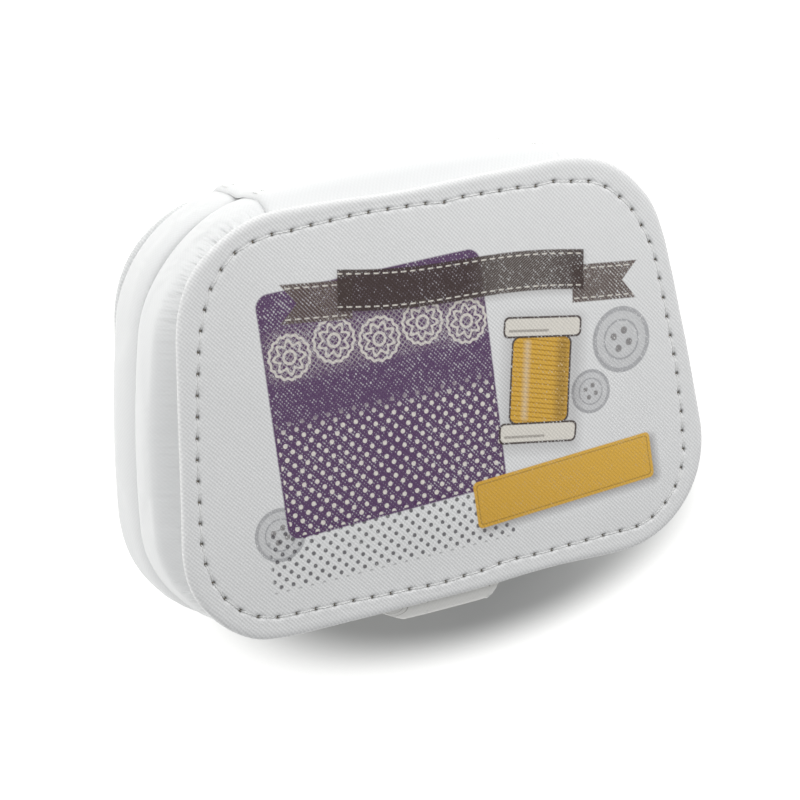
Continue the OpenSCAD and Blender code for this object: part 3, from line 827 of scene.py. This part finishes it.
def wall_bow(p, out, depth, bows):
    """How much further the wall swells out at a place, at a depth below its panel."""
    side = bows[0] * max(0, 1 - ((p.y + 1) / 38) ** 2) * out.x ** 2
    hinge = bows[1] * max(0, 1 - (p.x / 50) ** 2) * max(0, out.y) ** 2
    front = bows[2] * max(0, 1 - (p.x / 55) ** 2) * max(0, -out.y) ** 2
    corner = bows[3] * (2 * abs(out.x * out.y)) ** 1.5
    full = min(1, max(0, (depth - 1.7) / 5.4))
    full = full * full * (3 - 2 * full)
    eased = 1 - 0.12 * max(0, (depth - 12) / 4.6) ** 2
    return (side + hinge + front + corner) * full * eased


def gathered(out, depth):
    """How much the wall's cloth is gathered, from 0 to 1: round the corners, close to the panel."""
    return min(1.0, 1.3 * (2 * abs(out.x * out.y)) ** 1.2) * math.exp(-((depth - 3.2) / 2.6) ** 2)


def puffed(piece, spacing, give, cap):
    """Fills a padded piece's skin out as cloth under pressure, after an even remesh if a spacing is
    given. A point moves at most cap, in mm, times its give, and is held where that is 0."""
    if spacing:
        shape_by(piece, "REMESH", mode="VOXEL", voxel_size=spacing * MM)
    start = [vertex.co.copy() for vertex in piece.data.vertices]
    gives = [give(k, place / MM) for k, place in enumerate(start)]
    pins = piece.vertex_groups.new(name="held")
    pins.add([k for k, share in enumerate(gives) if share <= 0], 1.0, "REPLACE")
    skin = piece.modifiers.new("skin", "CLOTH")
    skin.settings.quality = 3
    skin.settings.vertex_group_mass = "held"
    skin.settings.use_pressure = True
    skin.settings.uniform_pressure_force = PUFF_PRESSURE
    skin.settings.shrink_min = -0.02
    skin.settings.effector_weights.gravity = 0
    skin.point_cache.frame_start, skin.point_cache.frame_end = 1, PUFF_FRAMES
    scene = bpy.context.scene
    for step in range(1, PUFF_FRAMES + 1):
        scene.frame_set(step)
    seen = piece.evaluated_get(bpy.context.evaluated_depsgraph_get()).data
    moved = [vertex.co.copy() for vertex in seen.vertices]
    piece.modifiers.remove(skin)
    scene.frame_set(1)
    for vertex, was, now, share in zip(piece.data.vertices, start, moved, gives):
        move = now - was
        most = cap * MM * max(0.0, share)
        if move.length > most:
            move *= most / move.length
        vertex.co = was + move
    if spacing:
        shape_by(piece, "SUBSURF", levels=1, render_levels=1)
    for face in piece.data.polygons:
        face.use_smooth = True


def wall(name, body, panel_z, up, rim, bows, *nodes):
    """One covered wall, from its panel to its rim and back up inside, where the cloth ends. Its
    outer rows give in the simulation, but not at the seam, the rim or under the hinge strip."""
    stations = outline_stations(WALL_POINTS)
    rows = []
    for depth, off in smooth_path(WALL_PROFILE, WALL_STEPS) + WALL_BACK:
        if depth > SHARED_DEPTH:
            below = (depth - SHARED_DEPTH) * (rim - SHARED_DEPTH)
            depth = SHARED_DEPTH + below / (LID_RIM - SHARED_DEPTH)
        outer = off > -3.0
        row = []
        for p, out in stations:
            swell = wall_bow(p, out, depth, bows) if outer else 0.0
            if outer and off < -1.15 and depth > 8:
                swell *= max(0.0, (off + 3.0) / 1.85)
            at = p + out * (off + swell)
            row.append((at.x, at.y, panel_z - up * depth))
        rows.append(row)
    mesh, loops = loop_mesh(rows, tube=True)
    mark = mesh.verts.layers.float["worked"]
    for row, loop in zip(rows[:GATHERED_ROWS], loops):
        for (p, out), place, vertex in zip(stations, row, loop):
            vertex[mark] = gathered(out, abs(place[2] - panel_z))
    piece = make_piece(name, mesh, wall_cloth)
    gives = []
    for k, row in enumerate(rows):
        for x, y, z in row:
            along = (abs(z - panel_z) - 2.6) / (rim - 4.0)
            beside = 1.0 if y < 30 else min(1.0, max(0.0, (abs(x) - STRIP_REACH) / 5))
            gives.append(4 * along * (1 - along) * beside if k < FREE_ROWS else 0.0)
    puffed(piece, None, lambda k, place: gives[k], WALL_CAP)
    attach(piece, body)
    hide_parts(*nodes)


wall("lid_wall_cloth", "lid", CASE_H, 1, LID_RIM, LID_BOWS, "lid_wall_cover", "lid_wall_padding")
wall("base_wall_cloth", "base", 0.0, -1, BASE_RIM, BASE_BOWS, "base_wall_cover", "base_wall_padding")

# ---- Hinge strip ----
# One leathercloth strip, its ends turned in, glued flat down the middle of both hinge walls. It
# bridges the parting and is the hinge.
STRIP_LEFT, STRIP_RIGHT = -31.2, 31.7
STRIP_T, STRIP_GAP, STRIP_DIP = 0.8, 0.1, 0.42
STRIP_COLUMNS = 72
STRIP_HEIGHTS = [2.0, 2.5, 3.1, 4.0, 5.2, 6.6, 8.2, 10.0, 12.0, 14.0, 15.4, 16.3, 17.2, 18.1, 19.0, 20.4,
                 22.4, 24.4, 26.2, 27.8, 29.2, 30.3, 31.2, 31.8, 32.2]


def wall_offset(profile_depth):
    """The wall's own offset at a depth, read between the places of its profile."""
    for (d0, e0), (d1, e1) in zip(WALL_PROFILE, WALL_PROFILE[1:]):
        if d0 <= profile_depth <= d1:
            return e0 + (e1 - e0) * (profile_depth - d0) / (d1 - d0)
    return WALL_PROFILE[0][1]


def strip_line(x):
    """The strip's inner line up the hinge walls at a place along the hinge, as (y, z)."""
    p, out = Vector((x, PANEL_D / 2)), Vector((0, 1))
    if abs(x) > HINGE_X:
        over = (abs(x) - HINGE_X) / HINGE_R
        out = Vector((math.copysign(math.sin(over), x), math.cos(over)))
        p = Vector((math.copysign(HINGE_X, x), HINGE_Y)) + out * HINGE_R
    line = []
    for z in STRIP_HEIGHTS:
        depth = z if z < PARTING_Z else CASE_H - z
        flat = min(depth, 12.5)
        y = p.y + out.y * (wall_offset(flat) + wall_bow(p, out, flat, LID_BOWS)) + STRIP_GAP
        line.append((y - STRIP_DIP * math.exp(-((z - PARTING_Z) / 2.2) ** 2), z))
    return line


mesh = bmesh.new()
strip_uv = mesh.loops.layers.uv.new("around")
columns = []
for i in range(STRIP_COLUMNS + 1):
    x = STRIP_LEFT + (STRIP_RIGHT - STRIP_LEFT) * i / STRIP_COLUMNS
    rim_in = max(0.0, min(x - STRIP_LEFT, STRIP_RIGHT - x))
    hem = 0.12 * math.exp(-((rim_in - 1.6) / 0.9) ** 2)
    thick = STRIP_T * (0.45 + 0.55 * min(1, rim_in / 0.5) ** 0.5) + hem
    line = strip_line(x)
    wave = 0.05 * math.sin(x * 0.21 + 1) + 0.03 * math.sin(x * 0.53)
    outer = [(x, y + thick + wave * math.exp(-((z - PARTING_Z) / 7) ** 2), z) for y, z in line]
    inner = [(x, y, z) for y, z in reversed(line)]
    columns.append([mesh.verts.new(Vector(point) * MM) for point in outer + inner])
for left, right in zip(columns, columns[1:]):
    for k, corners in enumerate(quads(left, right)):
        side = 1 if k < len(left) // 2 else -1
        add_face(mesh, corners, strip_uv, [(corner.co.x, side * corner.co.z) for corner in corners])
mesh.faces.new(columns[0][::-1])
mesh.faces.new(columns[-1])
strip = make_piece("hinge_strip", mesh, wall_cloth)
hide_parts("base_hinge_strip", "lid_hinge_strip")
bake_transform(strip, "base", "lid", start=(0, 0.04285, 0.0152), end=(0, 0.04285, 0.0192))

# Thread tacks hold the strip's ends to the walls.
TACK_PATH = [(-1.5, 0.9), (-1.44, 0.3), (-1.2, 0.02), (-0.5, -0.08), (0.5, -0.08), (1.2, 0.02),
             (1.44, 0.3), (1.5, 0.9)]
TACK_HALF, TACK_PLACES = 1.5, (-30.4, -28.8, 29.3, 30.9)
for name, body, node, z in (("lid_tack_thread", "lid", "lid_hinge_tacks", 24.6),
                            ("base_tack_thread", "base", "base_hinge_tacks", 10.0)):
    mesh = bmesh.new()
    for x in TACK_PLACES:
        line = strip_line(x)
        y = min(line, key=lambda point: abs(point[1] - z))[0] + STRIP_T
        low, high = Vector((x, y, z - TACK_HALF)), Vector((x, y, z + TACK_HALF))
        add_stitch(mesh, low, high, Vector((0, 1, 0)), 2 * TACK_HALF, TACK_PATH, 2.0)
    piece = make_piece(name, mesh, thread)
    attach(piece, body)
    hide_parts(node)

# ---- Strap ----
# Two leathercloth layers sewn round a stiffener that holds a magnet. It comes out from under the
# lid's panel, bends down over the front wall and ends round, just above the table.
STRAP_LINE = [(-37.4, 30.4), (-39.2, 31.0), (-40.8, 31.45), (-41.95, 31.2), (-42.7, 30.5),
              (-43.1, 29.3), (-43.3, 27.8), (-43.42, 25.5), (-43.45, 18.0), (-43.45, 12.0),
              (-43.45, 7.0), (-43.45, 4.0), (-43.45, 2.6)]
# where its two edges are, as (length along it, left, right)
STRAP_EDGES = [(0.0, -13.5, 9.7), (1.6, -14.5, 9.8), (2.4, -16.2, 10.1), (2.8, -17.6, 10.2),
               (3.0, -18.1, 10.0), (3.2, -18.1, 9.3), (3.6, -17.4, 8.3), (3.9, -16.9, 8.0),
               (4.3, -16.2, 7.8), (4.6, -15.6, 7.5), (4.9, -15.0, 7.25), (5.2, -14.4, 7.05),
               (5.5, -13.8, 6.9), (5.8, -13.3, 6.75), (6.2, -12.9, 6.65), (7.0, -12.6, 6.8),
               (7.6, -12.5, 7.1), (8.2, -12.4, 7.7), (8.7, -12.3, 8.5), (9.2, -12.2, 9.3),
               (9.7, -12.1, 9.7), (10.6, -12.0, 9.8), (99.0, -12.0, 9.8)]
# across it, as (share of the width, share of the half thickness)
STRAP_SECTION = [(0.0, 0.35), (0.008, 0.72), (0.03, 0.92), (0.07, 0.95), (0.13, 1.0), (0.3, 1.03),
                 (0.5, 1.04), (0.7, 1.03), (0.87, 1.0), (0.93, 0.95), (0.97, 0.92), (0.992, 0.72),
                 (1.0, 0.35)]
STRAP_END_Z, STRAP_END_R = 2.6, 6.0
STRAP_SEAMS, STRAP_PITCH = (-7.7, 6.1), 2.3
SEAM_FROM, SEAM_END_Z, SEAM_LIFT = 5.0, 8.0, 1.2
strap_path = smooth_path(STRAP_LINE, 4)


def strap_crease_shade(tree, where, height, cloth):
    """Fine dark lines painted as shade where the strap's folded layers end, beside its bend, and dark dots
    painted as shade in its needle holes.
    """
    u, v, _ = split(tree, where)
    u, v = u * 1000.0, v * 1000.0
    found = None
    for cx, cy, rx, ry in ((-14.9, 3.4, 2.9, 1.2), (-15.0, 3.35, 1.9, 0.7)):
        du, dv = (u - cx) * (1 / rx), (v - cy) * (1 / ry)
        line = ((du * du + dv * dv).run("SQRT") - 1).abs().ramp(0.06, 0.02)
        found = line if found is None else found.most(line)
    for x in STRAP_SEAMS:
        du, dv = u - x, (v * (1 / STRAP_PITCH)).run("FRACT") * STRAP_PITCH - STRAP_PITCH / 2
        found = found.most((du * du + dv * dv).run("SQRT").ramp(0.3, 0.12))
    # The crease lines and hole dots are painted shade.
    return mixed(tree, found * 0.55, cloth, (0.2, 0.18, 0.15, 1))


# The strap's cloth is the same cloth painted lighter, as painted light, to make up for the shade under the
# lid's flange.
STRAP_CLOTH_LIGHTENED = (0.86, 0.85, 0.82)
strap_cloth = leathercloth("strap_leathercloth", STRAP_CLOTH_LIGHTENED, "UV", 0.015 * MM, 0.03, None, strap_crease_shade)
mesh = bmesh.new()
strap_uv = mesh.loops.layers.uv.new("around")
rows = []
run = 0.0
for k, (y, z) in enumerate(strap_path):
    y0, z0 = strap_path[max(k - 1, 0)]
    y1, z1 = strap_path[min(k + 1, len(strap_path) - 1)]
    run += math.hypot(y - y0, z - z0)
    ahead = Vector((0, y1 - y0, z1 - z0)).normalized()
    face_out = ahead.cross(Vector((1, 0, 0)))
    for (run0, left0, right0), (run1, left1, right1) in zip(STRAP_EDGES, STRAP_EDGES[1:]):
        if run0 <= run < run1:
            share = (run - run0) / (run1 - run0)
            left, right = left0 + (left1 - left0) * share, right0 + (right1 - right0) * share
    end_in = max(0, STRAP_END_Z + STRAP_END_R - z) if run > 12 else 0
    if end_in > 0:
        tuck_in = STRAP_END_R - math.sqrt(max(0.0, STRAP_END_R ** 2 - min(end_in, 5.98) ** 2))
        left, right = left + tuck_in, right - tuck_in
    half = 0.7 + 0.5 * min(1, max(0, run - 5.0) / 5.0)
    if z < 3.4 and run > 12:
        half *= 0.55 + 0.45 * max(0, (z - STRAP_END_Z) / 0.8) ** 0.5
    section = [(left + (right - left) * share, half * thick) for share, thick in STRAP_SECTION]
    middle = Vector((0, y, z))
    over = [middle + Vector((x, 0, 0)) + face_out * h for x, h in section]
    under = [middle + Vector((x, 0, 0)) - face_out * h for x, h in reversed(section)]
    rows.append((run, [mesh.verts.new(point * MM) for point in over + under]))
for (run0, low), (run1, high) in zip(rows, rows[1:]):
    for corners in quads(low, high):
        runs = (run0, run0, run1, run1)
        add_face(mesh, corners, strap_uv, [(corner.co.x, v * MM) for corner, v in zip(corners, runs)])
mesh.faces.new(rows[0][1][::-1])
mesh.faces.new(rows[-1][1])
strap = make_piece("closing_strap", mesh, strap_cloth)
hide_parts("strap_outer", "strap_lining", "strap_root")
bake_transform(strap, "lid", "strap", start=(0, -0.0415, 0.0305), end=(0, -0.0437, 0.0283))


def facing_out(way):
    """A direction square to the strap, turned to the side that is seen."""
    return way if way.y < 0 or way.z > 0 else -way


# Two rows of stitches hold its layers together, on the side that is seen.
mesh = bmesh.new()
for x in STRAP_SEAMS:
    holes = []
    run, due = 0.0, SEAM_FROM
    for (y0, z0), (y1, z1) in zip(strap_path, strap_path[1:]):
        run += math.hypot(y1 - y0, z1 - z0)
        if run >= due and z1 > SEAM_END_Z:
            out = Vector((0, z1 - z0, y0 - y1)).normalized()
            holes.append((Vector((x, y1, z1)) + facing_out(out) * SEAM_LIFT, out))
            due += STRAP_PITCH
    for (start, first), (end, second) in zip(holes, holes[1:]):
        add_stitch(mesh, start, end, facing_out((first + second).normalized()))
strap_thread = make_piece("strap_seam_thread", mesh, thread)
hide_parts("strap_stitching")
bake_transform(strap_thread, "lid", "strap", start=(0, -0.0415, 0.0305), end=(0, -0.0437, 0.0283))

# ---- Foam insert ----
# One block of dense dark-grey foam, die-cut with three rows of slots for bobbins on edge. It fills
# the base up to just below the rim.
FILL = -3.9
INSERT_Z, INSERT_TOP, SLOT_FLOOR = 3.12, 15.95, 5.1
SLOT_W, SLOT_D, CUTTER_H, SLOT_PITCH = 12.3, 21.3, 20, 14.1
SLOT_ROWS = ((-34.15, 6), (-10.65, 7), (12.85, 5))
foam_material = textured("insert_foam", (0.035, 0.036, 0.04), (0.075, 0.077, 0.082), 1800.0, 0.12 * MM, 0.95)
insert = outline_block("foam_insert", FILL, INSERT_Z, INSERT_TOP)
cutter_size = (SLOT_W * MM, SLOT_D * MM, CUTTER_H * MM)
slots = []
for y0, row_count in SLOT_ROWS:
    for k in range(row_count):
        x = (k - (row_count - 1) / 2) * SLOT_PITCH
        place = (x * MM, (y0 + SLOT_D / 2) * MM, (SLOT_FLOOR + CUTTER_H / 2) * MM)
        bpy.ops.mesh.primitive_cube_add(size=1, location=place, scale=cutter_size, calc_uvs=False)
        slots.append(bpy.context.object)
bpy.ops.object.select_all(action="DESELECT")
for slot in slots:
    slot.select_set(True)
bpy.context.view_layer.objects.active = slots[0]
bpy.ops.object.join()
cutter = bpy.context.object
shape_by(insert, "BOOLEAN", object=cutter, operation="DIFFERENCE")
bpy.data.objects.remove(cutter, do_unlink=True)
soften(insert, 0.4)
insert.data.materials.append(foam_material)
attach(insert, "base")
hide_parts("insert_rails", "front_dividers", "middle_dividers", "hinge_dividers", "insert_floor")

# ---- Linings ----
# Plain-woven cloth glued round the inside of both walls.
LINING_POINTS = 320
lining_cloth = textured("lining_cloth", (0.085, 0.045, 0.14), (0.13, 0.075, 0.2), 1400.0, 0.04 * MM, 0.85)


def lining(name, body, z0, z1, node):
    """A band of cloth round the inside of a wall, from z0 to its folded edge near the rim at z1."""
    stations = outline_stations(LINING_POINTS)
    up = 1 if z1 > z0 else -1
    section = [(-3.6, z0), (-3.62, z0 + (z1 - z0) * 0.3), (-3.58, z0 + (z1 - z0) * 0.6),
               (-3.6, z1 - 0.6 * up), (-3.5, z1 - 0.2 * up), (-3.33, z1), (-3.18, z1 - 0.2 * up),
               (-3.13, z1 - 0.8 * up), (-3.13, z0)]
    mesh, _ = loop_mesh(outline_rows(stations, section), tube=True)
    piece = make_piece(name, mesh, lining_cloth)
    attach(piece, body)
    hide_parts(node)
    abs(z1 - z0) * MM


lining("lid_side_lining", "lid", 30.5, 17.5, "lid_wall_lining")
lining("base_side_lining", "base", 3.1, 16.9, "base_wall_lining")

# ---- Lid pad ----
# A soft foam pad under purple velvet fills the lid's inside and holds the bobbins in their slots.
velvet = textured("purple_velvet", (0.06, 0.02, 0.1), (0.12, 0.045, 0.19), 700.0, 0.1 * MM, 0.9)
dial(velvet.node_tree.nodes["Principled BSDF"], Sheen_Weight=0.6)
PAD_PROFILE = [(-4.2, 30.45), (-4.05, 29.9), (-4.1, 29.0), (-4.6, 28.3), (-5.3, 27.75), (-6.6, 27.5),
               (-9.0, 27.4), (-13.0, 27.35), (-18.0, 27.3)]
PAD_POINTS, PAD_SPACING, PAD_CAP, PAD_HELD_Z = 320, 1.5, 0.95, 28.8
stations = outline_stations(PAD_POINTS)
mesh, loops = loop_mesh(outline_rows(stations, smooth_path(PAD_PROFILE, 3)))
close_on_pole(mesh, loops[-1])
close_on_pole(mesh, loops[0][::-1])
pad = make_piece("lid_velvet_pad", mesh, velvet)
puffed(pad, PAD_SPACING, lambda k, place: min(1.0, PAD_HELD_Z - place.z), PAD_CAP)
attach(pad, "lid")
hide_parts("lid_pad_velvet", "lid_pad_foam")

# ---- Hidden parts ----
# The walls' stiff frames, the cards under insert and pad, the strap's stiffener, magnet and keeper.
steel = textured("plated_steel", (0.42, 0.42, 0.43), (0.56, 0.56, 0.57), 300.0, 0.01 * MM, 0.32,
                 metallic=1.0)
for node, material in (("lid_wall_frame", chipboard), ("base_wall_frame", chipboard),
                       ("strap_core", chipboard), ("lid_floor_lining", lining_cloth),
                       ("base_floor_lining", lining_cloth),
                       ("keeper_disc", steel), ("strap_magnet", steel)):
    piece = bpy.data.objects[node]
    piece.data.materials.clear()
    piece.data.materials.append(material)
